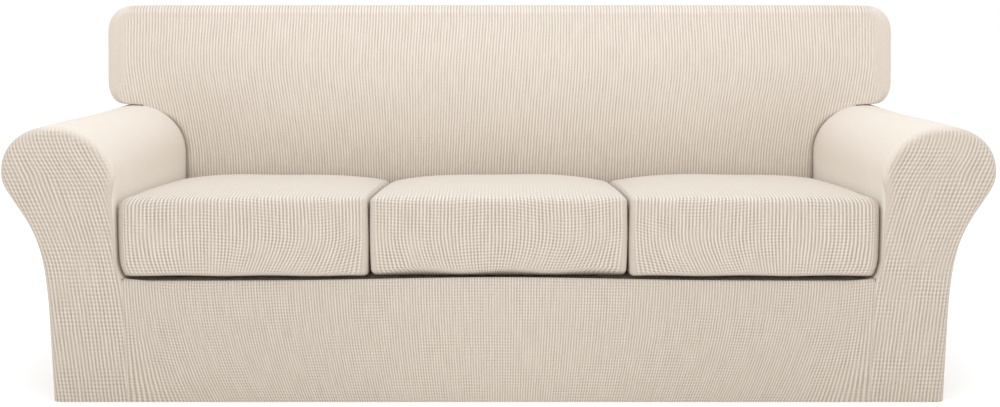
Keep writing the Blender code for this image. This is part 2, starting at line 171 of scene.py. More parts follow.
class SlipcoverKnit(PropertyGroup):
    """Sizes and colours of the knitted cloth"""

    thickness: FloatProperty(
        name="Thickness", description="Thickness of the cloth", default=CLOTH_THICKNESS,
        unit="LENGTH",
    )
    rib_depth: FloatProperty(
        name="Rib depth", description="How far a rib stands above its groove", default=0.0007,
        unit="LENGTH",
    )
    unevenness: FloatProperty(
        name="Unevenness", description="Height of the slow waves in the stretched cloth",
        default=0.0012, unit="LENGTH",
    )
    crest_colour: FloatVectorProperty(
        name="Crest colour", description="Colour of the ribs", default=(0.72, 0.635, 0.545),
        size=3, subtype="COLOR",
    )
    groove_colour: FloatVectorProperty(
        name="Groove colour", description="Colour of the yarn between the ribs",
        default=(0.365, 0.305, 0.24), size=3, subtype="COLOR",
    )
    # Painted light: a paler, greyer colour for the smooth cloth inside the arms, where the light
    # from above washes it out
    painted_light_colour: FloatVectorProperty(
        name="Smooth colour", description="Colour of the smooth cloth inside the arms",
        default=(0.755, 0.69, 0.605), size=3, subtype="COLOR",
    )
    contrast: FloatProperty(
        name="Contrast", description="How much darker the grooves are", default=0.8,
        subtype="FACTOR",
    )
    roughness: FloatProperty(
        name="Roughness", description="Roughness of the yarn", default=0.9, subtype="FACTOR"
    )


class SlipcoverShape(PropertyGroup):
    """How the cloth swells and its ribs are drawn in"""

    cushion_swell: FloatProperty(
        name="Cushion swell", description="How far the front of a cushion bulges",
        default=0.005, unit="LENGTH",
    )
    cushion_pull: FloatProperty(
        name="Cushion pull", description="How much the ribs are drawn in at a cushion's foot",
        default=0.28, subtype="FACTOR",
    )
    skirt_pull: FloatProperty(
        name="Skirt pull", description="How much the ribs of the skirt are drawn in at its hem",
        default=0.105, subtype="FACTOR",
    )
    back_pull: FloatProperty(
        name="Back pull", description="How much the ribs are drawn in at the foot of the back",
        default=0.046, subtype="FACTOR",
    )
    back_bow: FloatProperty(
        name="Back bow", description="How far the ribs of the back bow outwards",
        default=0.008, unit="LENGTH",
    )


class SlipcoverStage(PropertyGroup):
    """Camera and light"""

    lens: FloatProperty(
        name="Lens", description="Focal length of the camera in mm", default=43.02
    )
    sky: FloatProperty(
        name="Sky", description="Strength of the white surroundings", default=1.0
    )
    top_light: FloatProperty(
        name="Top light", description="Power of the light above the seat", default=21.5,
        unit="POWER",
    )
    front_light: FloatProperty(
        name="Front light", description="Power of the light behind the camera", default=10.0,
        unit="POWER",
    )


# ---------------------------------------------------------------- curves and outlines


def ease(t):
    """3t^2 - 2t^3 between 0 and 1: a rise with a level start and a level end."""
    t = np.clip(t, 0.0, 1.0)
    return t * t * (3.0 - 2.0 * t)


def between(low, high, share):
    """Eased step from low to high."""
    return low + (high - low) * ease(share)


def fade(distance, width):
    """1 at distance 0, falling evenly to 0 at the width."""
    return np.clip(1.0 - distance / width, 0.0, 1.0)


def deck_z(y):
    """Height of the seat under the cushions: it falls evenly towards the back."""
    return DECK_FRONT_Z - DECK_PITCH * (y - FRONT_Y)


def face_y(z):
    """Place of the back's face along its edges: one lean beside the cushions, one above."""
    lean = np.where(z < CREASE_Z, LEAN_LOW, LEAN_HIGH)
    return CREASE_Y + lean * (z - CREASE_Z)


def deck_end_y():
    """Where the seat meets the face of the back: the crossing of two straight lines."""
    return (CREASE_Y + LEAN_LOW * (DECK_FRONT_Z + DECK_PITCH * FRONT_Y - CREASE_Z)) / (
        1.0 + LEAN_LOW * DECK_PITCH
    )


def fallen(z, y):
    """Height of a point of the arm at Y: the roll sinks a little towards the back."""
    high = ease((z - CREASE_Z) / (ROLL_TOP_Z - CREASE_Z))
    return z - ROLL_FALL * high * ease((y - FRONT_Y) / (CREASE_Y - FRONT_Y))


def flare(t):
    """Outer side of the arm: two eased rises, most of it held back by a power of t."""
    share = FLARE_EARLY * ease(t) + (1.0 - FLARE_EARLY) * ease(t**FLARE_DELAY)
    return SIDE_X + (ROLL_OUT_X - SIDE_X) * share, FLARE_Z + (ROLL_OUT_Z - FLARE_Z) * t


def outer_roll(angle):
    """Outer half of the roll: a quarter of a superellipse from its widest point to its top."""
    power = 2.0 / ROLL_FULLNESS
    across, up = np.cos(angle) ** power, np.sin(angle) ** power
    x = ROLL_TOP_X + (ROLL_OUT_X - ROLL_TOP_X) * across
    return x, ROLL_OUT_Z + (ROLL_TOP_Z - ROLL_OUT_Z) * up


def inner_roll(angle):
    """Inner half of the roll: a quarter of an ellipse from its top to its inner side."""
    x = ROLL_TOP_X - (ROLL_TOP_X - INNER_X) * np.sin(angle)
    return x, ROLL_IN_Z + (ROLL_TOP_Z - ROLL_IN_Z) * np.cos(angle)


def contact_angle():
    """Turn of the inner roll where the back starts to cover it."""
    return math.asin((ROLL_TOP_X - CONTACT_X) / (ROLL_TOP_X - INNER_X))


def roll_z(x):
    """Height of the roll under the back, inside its top line."""
    across = (ROLL_TOP_X - x) / (ROLL_TOP_X - INNER_X)
    return fallen(ROLL_IN_Z + (ROLL_TOP_Z - ROLL_IN_Z) * np.sqrt(1.0 - across**2), REAR_Y)


def outer_outline():
    """Right arm's outline (x, z) from the floor outside to where the back covers the roll."""
    side = np.linspace(0.0, 1.0, 9)[:-1]
    parts = [
        (SIDE_FLOOR_X + (SIDE_X - SIDE_FLOOR_X) * side, FLARE_Z * side),
        flare(np.linspace(0.0, 1.0, 23)[:-1]),
        outer_roll(np.radians(np.linspace(0.0, 90.0, 19)[:-1])),
        inner_roll(np.linspace(0.0, contact_angle(), 3)),
    ]
    return np.concatenate([np.stack(part, -1) for part in parts])


def inner_outline():
    """Right arm's outline (x, z) from there down the inner side to the height of the seat."""
    drop = np.linspace(0.0, 1.0, 19)[1:]
    parts = [
        inner_roll(np.linspace(contact_angle(), math.pi / 2, 16)),
        (np.full(drop.shape, INNER_X), ROLL_IN_Z + (DECK_FRONT_Z - ROLL_IN_Z) * drop),
    ]
    return np.concatenate([np.stack(part, -1) for part in parts])


def inward(outline):
    """Unit normals of an open outline, on the left of its direction of travel."""
    along = np.gradient(outline, axis=0)
    along /= np.linalg.norm(along, axis=1, keepdims=True)
    return np.stack((-along[:, 1], along[:, 0]), -1)


def inner_front_radius(z):
    """The front edge of the inner arm: crisp beside the cushion, soft above it."""
    return between(PRESSED_RADIUS, EDGE_RADIUS, (z - PRESSED_TOP_Z) / 0.15)


def arm_rear_radius(x, z):
    """The rear edge of the arm: crisp where the back covers the roll, soft at its widest point."""
    share = np.where(z > ROLL_OUT_Z, (x - CONTACT_X) / (ROLL_OUT_X - CONTACT_X), 1.0)
    return between(TIGHT_RADIUS, EDGE_RADIUS, share)


def rear_edge(radius, steps):
    """Round rear edge and its lip as (inset, y): a quarter circle in steps, then a flat lip."""
    turn = np.linspace(math.pi / 2, 0.0, steps + 1)[1:]
    inset = np.concatenate((radius * (1.0 - np.sin(turn)), radius + SEAM_LIP), axis=1)
    round_y = REAR_Y - radius * (1.0 - np.cos(turn))
    return inset, np.concatenate((round_y, np.full(radius.shape, REAR_Y)), axis=1)


def arm_give(y, z):
    """How far the inner side of the right arm gives way to the front corner of the cushion.

    Half the sum of two eased rises above the seat, fading out at the cushion's top and behind.
    """
    rise = z - DECK_FRONT_Z
    pressed = ease((rise - 0.001) / 0.009) + ease((rise - 0.004) / 0.035)
    pressed = 0.5 * pressed * ease((ARM_GIVE_TOP_Z - z) / 0.09)
    return ARM_GIVE * pressed * (1.0 - ease((y - FRONT_Y - 0.03) / 0.07))


def top_share(count):
    """For each of the ear's stations, how far it lies along those of the upper corner."""
    return (np.arange(count) / (count - 1) - 0.72) / 0.28


def ear_stations():
    """Edge of the T on its right half: (x, z), inward normal, front radius, rear radius.

    From the roll along the ear's underside, round its lower corner, up its side, and round its
    upper corner. A share that rises from 0 at the roll to 1 at the end of the lower corner sets
    how round the edges of the back are.
    """
    start = np.array((NECK_X, roll_z(CONTACT_X) + SEAM))
    low = np.array((EAR_X - EAR_LOW_RADIUS, EAR_LOW_Z))
    run = np.linspace(0.0, 1.0, 5)[:-1]
    turn = np.linspace(0.0, 1.0, 8)
    rise = np.linspace(0.0, 1.0, 7)[1:-1]
    sine, cosine = np.sin(turn * math.pi / 2), np.cos(turn * math.pi / 2)
    corner = low + EAR_LOW_RADIUS * np.stack((sine, 1.0 - cosine), -1)
    top_z = BACK_TOP_Z - EAR_TOP_RADIUS
    side_z = corner[-1, 1] + (top_z - corner[-1, 1]) * rise
    top = (EAR_X - EAR_TOP_RADIUS, top_z) + EAR_TOP_RADIUS * np.stack((cosine, sine), -1)
    points = np.concatenate([
        start + (low - start) * run[:, None], corner,
        np.stack((np.full(rise.shape, EAR_X), side_z), -1), top,
    ])
    share = np.concatenate([0.4 * run, 0.4 + 0.6 * turn, np.ones(len(rise) + len(top))])
    normals = inward(points)
    normals[0], normals[-1] = (0.0, 1.0), (0.0, -1.0)
    front = between(0.003, BACK_EDGE_RADIUS, (share - 0.3) / 0.7)
    front = front * between(1.0, 0.55, top_share(len(points)))
    rear = between(TIGHT_RADIUS, BACK_REAR_RADIUS, share)
    return points, normals, front, rear


# ---------------------------------------------------------------- grids and sheets


class Patch:
    """A grid of points with, at each point, its place in the knit and how the knit shows there.

    ribs and rows count the ribs and the check rows up to the point, relief is how strongly they
    show, and checks how strongly the check rows do. flat_ribs is 1 where the ribs are left to
    the material. The tone value is how dark the cloth is as a whole: the knit's own darkness,
    as much as the relief unless given, with painted shade added where shade falls and painted
    light where light washes the cloth out; below 0 it is smooth and pale, the painted light
    colour. Each may be a single number. keep says which quads are made.
    """

    def __init__(self, points, ribs, rows, relief, checks=0.5, flat_ribs=1.0, tone=None,
                 keep=None):
        shape = points.shape[:2]
        self.points = points
        self.ribs = np.broadcast_to(ribs, shape)
        self.rows = np.broadcast_to(rows, shape)
        self.relief = np.broadcast_to(relief, shape)
        self.checks = np.broadcast_to(checks, shape)
        self.flat_ribs = np.broadcast_to(flat_ribs, shape)
        self.tone = np.broadcast_to(relief if tone is None else tone, shape)
        self.keep = keep

    def mirrored(self):
        """The same patch on the other side of X = 0, its columns turned round to face out."""
        points = self.points[:, ::-1] * (-1.0, 1.0, 1.0)
        turned = (self.rows, self.relief, self.checks, self.flat_ribs, self.tone)
        keep = None if self.keep is None else self.keep[:, ::-1]
        return Patch(points, -self.ribs[:, ::-1], *(values[:, ::-1] for values in turned), keep)


def outward(points):
    """Unit normals of a grid: column direction x row direction, from central differences."""
    normals = np.cross(np.gradient(points, axis=1), np.gradient(points, axis=0))
    return normals / np.maximum(np.linalg.norm(normals, axis=2, keepdims=True), 1e-12)


def rib_profile(ribs):
    """1 on the crest of a rib and 0 in its groove, as a cosine."""
    return 0.5 + 0.5 * np.cos(2 * math.pi * ribs)


def slow_waves(points):
    """Uneven height of stretched cloth, -1 to 1: three crossing sines 0.2 to 0.5 m long."""
    x, y, z = np.moveaxis(points, 2, 0)
    first = np.sin(17.0 * x + 9.0 * z + 5.0 * y + 0.6)
    second = np.sin(-11.0 * x + 23.0 * z - 7.0 * y + 2.1)
    third = np.sin(29.0 * x - 6.0 * z + 12.0 * y + 4.0)
    return (first + second + third) / 3.0


def raised(points, height):
    """The grid moved outwards along its normals."""
    return points + outward(points) * height[..., None]


def lengths(points, axis):
    """Distance travelled along the rows or columns of a grid, from 0."""
    steps = np.linalg.norm(np.diff(points, axis=axis), axis=2)
    start = np.zeros_like(np.take(steps, [0], axis=axis))
    return np.concatenate((start, np.cumsum(steps, axis=axis)), axis=axis)


def patch_mesh(name, patches):
    """Joins the patches into one mesh: a vertex for each grid point, a quad for each cell."""
    quads, offset = [], 0
    for patch in patches:
        rows, columns = patch.points.shape[:2]
        index = offset + np.arange(rows * columns).reshape(rows, columns)
        cells = (index[:-1, :-1], index[:-1, 1:], index[1:, 1:], index[1:, :-1])
        corners = np.stack(cells, -1)
        quads.append(corners.reshape(-1, 4) if patch.keep is None else corners[patch.keep])
        offset += rows * columns
    quads = np.concatenate(quads).astype(np.int32)
    mesh = bpy.data.meshes.new(name)
    mesh.vertices.add(offset)
    points = np.concatenate([patch.points.reshape(-1, 3) for patch in patches])
    mesh.vertices.foreach_set("co", points.astype(np.float32).ravel())
    mesh.loops.add(quads.size)
    mesh.loops.foreach_set("vertex_index", quads.ravel())
    mesh.polygons.add(len(quads))
    mesh.polygons.foreach_set("loop_start", np.arange(0, quads.size, 4, dtype=np.int32))
    mesh.update(calc_edges=True)
    places = [np.stack((patch.ribs, patch.rows), -1).reshape(-1, 2) for patch in patches]
    knit = mesh.uv_layers.new(name="knit")
    knit.data.foreach_set("uv", np.concatenate(places)[quads.ravel()].astype(np.float32).ravel())
    for word in ("relief", "checks", "flat_ribs", "tone"):
        values = np.concatenate([getattr(patch, word).ravel() for patch in patches])
        attribute = mesh.attributes.new(word, "FLOAT", "POINT")
        attribute.data.foreach_set("value", values.astype(np.float32))
    return mesh


def weld(mesh):
    """Joins the patches where their borders meet, and drops points that no face uses.

    The cut edge of the piece is sharp, so that its thickness leaves the shading of the cloth as
    it is.
    """
    surface = bmesh.new()
    surface.from_mesh(mesh)
    bmesh.ops.remove_doubles(surface, verts=surface.verts, dist=WELD)
    loose = [vertex for vertex in surface.verts if not vertex.link_faces]
    bmesh.ops.delete(surface, geom=loose, context="VERTS")
    for edge in surface.edges:
        edge.smooth = not edge.is_boundary
    surface.to_mesh(mesh)
    surface.free()


def sew(name, node, patches, area):
    """Makes a sewn piece that stands for a node: a smooth sheet with its thickness inside."""
    knit = bpy.context.scene.slipcover_knit
    mesh = patch_mesh(name, patches)
    weld(mesh)
    mesh.shade_smooth()
    mesh.materials.append(knit_material())
    piece = bpy.data.objects.new(name, mesh)
    bpy.context.scene.collection.objects.link(piece)
    wall = piece.modifiers.new("cloth thickness", "SOLIDIFY")
    wall.thickness = knit.thickness
    wall.offset = -1.0
    wall.use_quality_normals = True
    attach(piece, BODY)
    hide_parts(node)
    return piece


# ---------------------------------------------------------------- material


class Value:
    """A value in a material. Sums, products and so on of values add their Math nodes."""

    def __init__(self, finish, socket):
        self.finish = finish
        self.socket = socket

    def maths(self, operation, first, second=None):
        """A Math node on one or two values."""
        inputs = {0: first} if second is None else {0: first, 1: second}
        node = self.finish.node("ShaderNodeMath", {"operation": operation}, inputs)
        return Value(self.finish, node.outputs[0])

    def __add__(self, other):
        return self.maths("ADD", self, other)

    __radd__ = __add__

    def __sub__(self, other):
        return self.maths("SUBTRACT", self, other)

    def __rsub__(self, other):
        return self.maths("SUBTRACT", other, self)

    def __mul__(self, other):
        return self.maths("MULTIPLY", self, other)

    __rmul__ = __mul__

    def wave(self):
        """1 at each whole number and 0 half way between, as a cosine."""
        turned = self.maths("MULTIPLY", self, 2 * math.pi)
        return self.maths("COSINE", turned) * 0.5 + 0.5

    def eased(self, low=0.0, high=1.0):
        """0 at low, 1 at high, with a level start and a level end."""
        settings = {"interpolation_type": "SMOOTHSTEP"}
        inputs = {"Value": self, "From Min": low, "From Max": high}
        node = self.finish.node("ShaderNodeMapRange", settings, inputs)
        return Value(self.finish, node.outputs["Result"])


class Finish:
    """A material's nodes, added by name."""

    def __init__(self, name):
        self.material = bpy.data.materials.new(name)
        self.material.use_nodes = True
        self.tree = self.material.node_tree
        self.shader = self.tree.nodes["Principled BSDF"]

    def connect(self, socket, value):
        """Links a value or an output to a socket, or sets a plain number or colour on it."""
        if isinstance(value, Value):
            value = value.socket
        if isinstance(value, bpy.types.NodeSocket):
            self.tree.links.new(value, socket)
        else:
            socket.default_value = value

    def node(self, kind, settings, inputs):
        """Adds a node: its settings first, then the values or links of its sockets."""
        made = self.tree.nodes.new(kind)
        for word, setting in settings.items():
            setattr(made, word, setting)
        for key, value in inputs.items():
            self.connect(made.inputs[key], value)
        return made

    def attribute(self, word):
        """What the mesh says at each point under that name."""
        made = self.node("ShaderNodeAttribute", {"attribute_name": word}, {})
        return Value(self, made.outputs["Fac"])

    def noise(self, place, scale, detail):
        """Noise from 0 to 1 around 0.5, with so many bumps to the metre."""
        inputs = {"Vector": place, "Scale": scale, "Detail": detail}
        return Value(self, self.node("ShaderNodeTexNoise", {}, inputs).outputs["Fac"])

    def colours(self, share, low, high):
        """A colour between two others, each a colour or a link."""
        low, high = (each if isinstance(each, bpy.types.NodeSocket) else (*each, 1.0)
                     for each in (low, high))
        inputs = {"Factor": share, 6: low, 7: high}
        return self.node("ShaderNodeMix", {"data_type": "RGBA"}, inputs).outputs[2]


def knit_material():
    """Ivory rib knit: pale ribs, darker grooves, check rows in patches, fine uneven yarn, and the
    painted shade and painted light that each mesh's tone carries.
    """
    name = "ivory rib knit"
    if name in bpy.data.materials:
        return bpy.data.materials[name]
    knit = bpy.context.scene.slipcover_knit
    cloth = Finish(name)
    place = cloth.node("ShaderNodeTexCoord", {}, {}).outputs["Object"]
    uv = cloth.node("ShaderNodeUVMap", {"uv_map": "knit"}, {}).outputs["UV"]
    across = cloth.node("ShaderNodeSeparateXYZ", {}, {"Vector": uv})
    relief = cloth.attribute("relief")
    checks = cloth.attribute("checks")
    flat_ribs = cloth.attribute("flat_ribs")
    tone = cloth.attribute("tone")

    wander = cloth.noise(place, 22.0, 2.0) - 0.5
    yarn = cloth.noise(place, 850.0, 2.0) - 0.5
    slub = cloth.noise(place, 170.0, 2.0) - 0.5
    patches = cloth.noise(place, 14.0, 2.0).eased(0.38, 0.60)
    strength = cloth.noise(place, 30.0, 1.0).eased(0.25, 0.65) * 0.35 + 0.65

    ribs = Value(cloth, across.outputs["X"]) + wander * 0.35
    rows = Value(cloth, across.outputs["Y"]) + wander * 0.5
    along = {"X": ribs, "Y": rows * 0.12}
    streak_place = cloth.node("ShaderNodeCombineXYZ", {}, along).outputs["Vector"]
    streak = cloth.noise(streak_place, 0.9, 1.0) - 0.5
    crest = ribs.wave().eased(0.1, 0.9)
    row = rows.wave().eased(0.15, 0.85)
    rib_grooves = (1.0 - crest) * relief * strength
    row_grooves = (1.0 - row) * relief * checks * patches

    ribbing = (crest - 0.5) * relief * strength * knit.contrast
    checking = (row - 0.5) * relief * checks * patches * 0.4
    # The tone darkens the cloth: the knit's own mean darkness, with the painted shade it carries
    light = 0.88 - tone * 0.33 + ribbing + checking
    light = light + yarn * 0.2 + slub * 0.2 + streak * relief * 0.4
    colour = cloth.colours(light, knit.groove_colour, knit.crest_colour)
    # Below a tone of 0 the colour turns to the painted light colour: painted light, pale and grey
    colour = cloth.colours((0.0 - tone).eased(0.05, 0.36), colour, knit.painted_light_colour)
    height = (
        (0.0 - rib_grooves) * flat_ribs * knit.rib_depth
        - row_grooves * (0.5 * knit.rib_depth)
        + yarn * 0.00018 + slub * 0.0002
    )
    bump = cloth.node("ShaderNodeBump", {}, {"Strength": 1.0, "Distance": 1.0, "Height": height})
    cloth.connect(cloth.shader.inputs["Base Color"], colour)
    cloth.connect(cloth.shader.inputs["Roughness"], knit.roughness - crest * relief * 0.05)
    cloth.connect(cloth.shader.inputs["Normal"], bump.outputs["Normal"])
    for word, value in (
        ("Specular IOR Level", 0.25), ("Sheen Weight", 0.08), ("Sheen Roughness", 0.5),
    ):
        cloth.connect(cloth.shader.inputs[word], value)
    return cloth.material


# ---------------------------------------------------------------- the back


def back_border():
    """Right border of the back's face (x, z) from the seat up to the end of the top corner.

    Beside the arm it runs just inside the arm's outline, and round the ear it runs inside the
    edge of the T by the radius of the front edge. Also gives the row where the ear starts.
    """
    outline = inner_outline()
    normals = inward(outline)
    normals[-1] = (1.0, 0.0)
    beside = outline + normals * CLOTH_THICKNESS
    beside[:, 1] = fallen(beside[:, 1], REAR_Y)
    roll = beside[beside[:, 1] > ROLL_IN_Z - 0.02][::-1]
    foot = np.array([(roll[0, 0], deck_z(deck_end_y()) + SEAM), (roll[0, 0], CREASE_Z)])
    roll[-1] = (CONTACT_X - CLOTH_THICKNESS, roll_z(CONTACT_X) - CLOTH_THICKNESS - SEAM)
    points, inner, front, _ = ear_stations()
    ear = points + inner * front[:, None]
    return np.concatenate((foot, roll, ear)), len(foot) + len(roll)


def back_rib_x(start, z):
    """Where the rib that starts at X = start lies at a height.

    It bows outwards half way up the ears, is drawn towards the middle in proportion to its
    distance from it as it goes down between the arms, and leans a little near the middle.
    """
    shape = bpy.context.scene.slipcover_shape
    f = np.clip(start / (EAR_X - BACK_EDGE_RADIUS), -1.0, 1.0)
    height = np.clip((z - BACK_BOW_Z) / 0.15, -1.0, 1.0)
    bow = shape.back_bow * 0.5 * (1.0 - np.cos(math.pi * height)) * f * (1.0 - f**8)
    drawn = start * shape.back_pull * ease((0.78 - z) / 0.33)
    tilt = 0.07 * np.clip(z - BACK_BOW_Z, -0.3, 0.1) * np.exp(-(((f + 0.05) / 0.25) ** 2))
    return start - bow - drawn + tilt


def back_rib_start(x, z):
    """The rib through a point near the border: back_rib_x turned round by repeated correction."""
    start = x
    for _ in range(12):
        start = start + x - back_rib_x(start, z)
    return start


def groove_share(z):
    """How much of the groove between the back and the roll of the arm there is at a height."""
    return ease((BACK_GROOVE_TOP_Z - z) / 0.05)


def back_crown(x, half, z):
    """How far the padded back swells: level at the middle and at its sides.

    It widens slowly from between the arms to the width of the ears, inside the border.
    """
    share = np.clip((z - CREASE_Z) / (BACK_TOP_Z - CREASE_Z), 0.0, 1.0)
    lower = np.sin(math.pi * share) ** 0.7
    upper = 1.0 - (2.0 * share - 1.0) ** 2
    half = np.minimum(half, between(INNER_X, EAR_X - BACK_EDGE_RADIUS, (z - 0.50) / 0.30))
    x = np.minimum(np.abs(x), half)
    return BACK_CROWN * (1.0 - (x / half) ** 6) ** 2 * np.where(share < 0.5, lower, upper)


def round_part(angle, fullness):
    """How far along and across a round edge a turn takes one: a superellipse's two shares."""
    power = 2.0 / fullness
    return 1.0 - np.sin(angle) ** power, 1.0 - np.cos(angle) ** power


def edge_points(points, normals, front, rear, fullness):
    """Edge of the T carried along its outline: rows run along the outline, columns back.

    The columns follow a round front edge, the flat depth, and a round rear edge with a lip. The
    front edge is a superellipse, fuller along the top than at the ends.
    """
    face = face_y(points[:, 1] + normals[:, 1] * front)[:, None]
    front, rear = front[:, None], rear[:, None]
    inset, back = round_part(np.linspace(0.0, math.pi / 2, 11), fullness[:, None])
    front_y = face + front * back
    depth_y = front_y[:, -1:] + (REAR_Y - rear - front_y[:, -1:]) * np.linspace(0.0, 1.0, 4)[1:]
    rear_inset, rear_y = rear_edge(rear, 4)
    inset = np.concatenate((front * inset, np.zeros(depth_y.shape), rear_inset), axis=1)
    y = np.concatenate((front_y, depth_y, rear_y), axis=1)
    x = points[:, :1] + normals[:, :1] * inset
    z = points[:, 1:] + normals[:, 1:] * inset
    return np.stack((x, y, z), -1)


def back_patches():
    """Face with the top in one grid, and the edge of each ear in another.

    A column follows its rib down from the top, and stops where the rib meets the border.
    """
    knit = bpy.context.scene.slipcover_knit
    border, ear_row = back_border()
    half, z = border[:, :1], border[:, 1:]
    last = back_rib_start(half, z)
    count = 2 * math.ceil((last.max() + 0.001) / BACK_RIB)
    columns = np.linspace(-0.5, 0.5, count * COLUMNS_PER_RIB + 1) * count * BACK_RIB
    start = np.clip(columns, -last, last)
    x = np.clip(back_rib_x(start, z), -half, half)
    face_z = np.broadcast_to(z, x.shape)
    crown = back_crown(x, half, z)
    groove = BACK_GROOVE * groove_share(z) * fade(half - np.abs(x), BACK_GROOVE_WIDTH) ** 2
    face = np.stack((x, face_y(z) - crown + groove, face_z), -1)

    points, normals, front, rear = ear_stations()
    fullness = between(2.0, 2.5, top_share(len(points)))
    edge = edge_points(points, normals, front, rear, fullness)
    over = edge[-1, 1:]
    top = np.empty((len(over), len(columns), 3))
    top[..., 0] = face[-1, :, 0]
    top[..., 1:] = over[:, None, 1:]
    turned = np.clip((over[:, 1:2] - edge[-1, 0, 1]) / front[-1], 0.0, 1.0)
    top[..., 1] -= back_crown(top[..., 0], half[-1], over[:, 2:]) * (1.0 - turned)
    grid = np.concatenate((face, top))
    start = np.concatenate((start, np.broadcast_to(start[-1], top.shape[:2])))
    half = np.concatenate((half, np.broadcast_to(half[-1:], (len(over), 1))))

    row = np.arange(len(grid))[:, None]
    inside, z = half - np.abs(grid[..., 0]), grid[..., 2]
    relief = 0.85 * ease(inside / 0.018) * between(1.0, 0.6, (row - len(face) - 4) / 6.0)
    # Darker towards the foot, where the cushions shade it, round the top edge and in the groove
    # beside the roll: painted shade and painted shadow. It is also a little darker above 0.78 m.
    tone = between(0.75, 0.45, (z - 0.50) / 0.12)
    tone = tone + 0.15 * ease((z - 0.78) / 0.1) + 0.4 * ease((z - BACK_PAINTED_SHADE_Z) / 0.01)
    painted_groove_shade = fade(inside, BACK_GROOVE_WIDTH) * groove_share(z)
    tone = tone + 0.25 * ease((0.51 - z) / 0.06) + 0.5 * painted_groove_shade**2
    rows = lengths(grid[:, len(columns) // 2][:, None], 0) / CHECK_ROW
    rim = ease(inside / 0.08) * ease((border[-1, 1] - z) / 0.1)
    rim = rim * ease((z - 0.30) / 0.1) * (row < len(face))
    grid = raised(grid, slow_waves(grid) * 0.7 * knit.unevenness * rim)
    grid = raised(grid, rib_profile(start / BACK_RIB) * relief * knit.rib_depth)
    panel = Patch(grid, start / BACK_RIB, rows, relief, checks=0.12, flat_ribs=0.0, tone=tone)

    back = lengths(edge, 1)
    ribs = (last[ear_row:] + back) / BACK_RIB
    shows = 0.12 * ease(back / 0.03)
    tone = between(0.6, 0.25, back / 0.03)
    ear = Patch(edge, ribs, lengths(edge, 0) / CHECK_ROW, shows, checks=0.1, tone=tone)
    return [panel, ear, ear.mirrored()]


# ---------------------------------------------------------------- the rear


def rear_half_width():
    """(z, x) of the rear panel's right edge, rising: the arm, the notch, then the ear."""
    outline = outer_outline()
    inset = arm_rear_radius(outline[:, 0], outline[:, 1]) + SEAM_LIP + SEAM
    normals = inward(outline)
    normals[0] = (-1.0, 0.0)
    arm = outline + normals * inset[:, None]
    arm[:, 1] = fallen(arm[:, 1], REAR_Y)
    arm = arm[: np.argmax(arm[:, 1]) + 1]
    points, normals, _, rear = ear_stations()
    ear = points + normals * (rear + SEAM_LIP + SEAM)[:, None]
    neck = NECK_X - SEAM
    notch = np.array(((neck, arm[-1, 1] + 0.0005), (neck, ear[0, 1] - 0.0005)))
    edge = np.concatenate((arm, notch, ear))
    return edge[:, 1], edge[:, 0]


def rear_patches():
    """One flat grid: ribs hang straight but for those near the edge, drawn in by f^9.

    Its rows crowd at the notch under each ear and at the round top corners.
    """
    knit = bpy.context.scene.slipcover_knit
    edge_z, edge_x = rear_half_width()
    corner_z = edge_z[-1] - EAR_TOP_RADIUS + BACK_REAR_RADIUS
    heights = ((0.0, 0.2, 10), (0.2, 0.58, 26), (0.58, 0.67, 36), (0.67, corner_z, 12))
    z = np.concatenate([np.linspace(low, high, n + 1)[:-1] for low, high, n in heights])
    turn = np.sin(np.linspace(0.0, math.pi / 2, 13))
    z = np.append(z, corner_z + (edge_z[-1] - corner_z) * turn)[:, None]
    half = np.interp(z, edge_z, edge_x)
    wide = EAR_X - BACK_REAR_RADIUS - SEAM_LIP
    f = np.linspace(1.0, -1.0, 161)
    x = f * wide - (wide - half) * f**9
    grid = np.stack((x, np.full(x.shape, REAR_Y), np.broadcast_to(z, x.shape)), -1)
    inside = 1.0 - np.abs(f)
    rim = ease(inside / 0.06) * ease(z / 0.05) * ease((edge_z[-1] - z) / 0.05)
    grid = raised(grid, (slow_waves(grid) - 1.0) * knit.unevenness * rim)
    relief = ease(inside / 0.015) * ease((edge_z[-1] - z) / 0.02)
    return [Patch(grid, x / BACK_RIB, z / CHECK_ROW, relief, checks=0.3)]


# ---------------------------------------------------------------- seat and skirt


def seat_arch(f, y, z):
    """Height that the seat's front edge gains at share f of its width: a bell in the middle.

    It fades out down the skirt, behind the edge and at the arms.
    """
    rise, fall = SEAT_ARCH
    arch = (rise - fall * (1.0 - np.exp(-((f / 0.4) ** 2)))) * ease((1.0 - np.abs(f)) / 0.08)
    return arch * ease((z - 0.12) / 0.12) * (1.0 - ease((y - FRONT_Y - 0.014) / 0.03))


